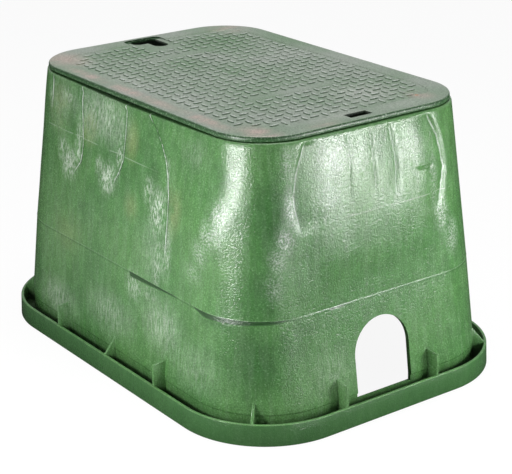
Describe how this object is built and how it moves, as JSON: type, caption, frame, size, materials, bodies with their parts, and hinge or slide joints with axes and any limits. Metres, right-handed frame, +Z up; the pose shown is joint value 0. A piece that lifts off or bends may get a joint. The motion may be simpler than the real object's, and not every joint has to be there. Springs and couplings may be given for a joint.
{
  "type": "irrigation valve box",
  "caption": "Rectangular tapered in-ground box, open below, with a flanged foot, a pipe hole in each end wall and a treaded lid that lies on its top edge.",
  "frame": {"origin": "centre of the foot flange's underside, on the ground", "axes": "+X along the long side, towards the end with the lid's pry slot; +Z up, out of the lid"},
  "size_m": [0.534, 0.39, 0.3113],
  "materials": {
    "body_plastic": "satin green polyethylene with a fine grain",
    "lid_plastic": "greyish green polyethylene, scuffed paler on the raised bars"
  },
  "bodies": {
    "root": {"box_body": "body_plastic", "lid": "lid_plastic"}
  },
  "joints": []
}
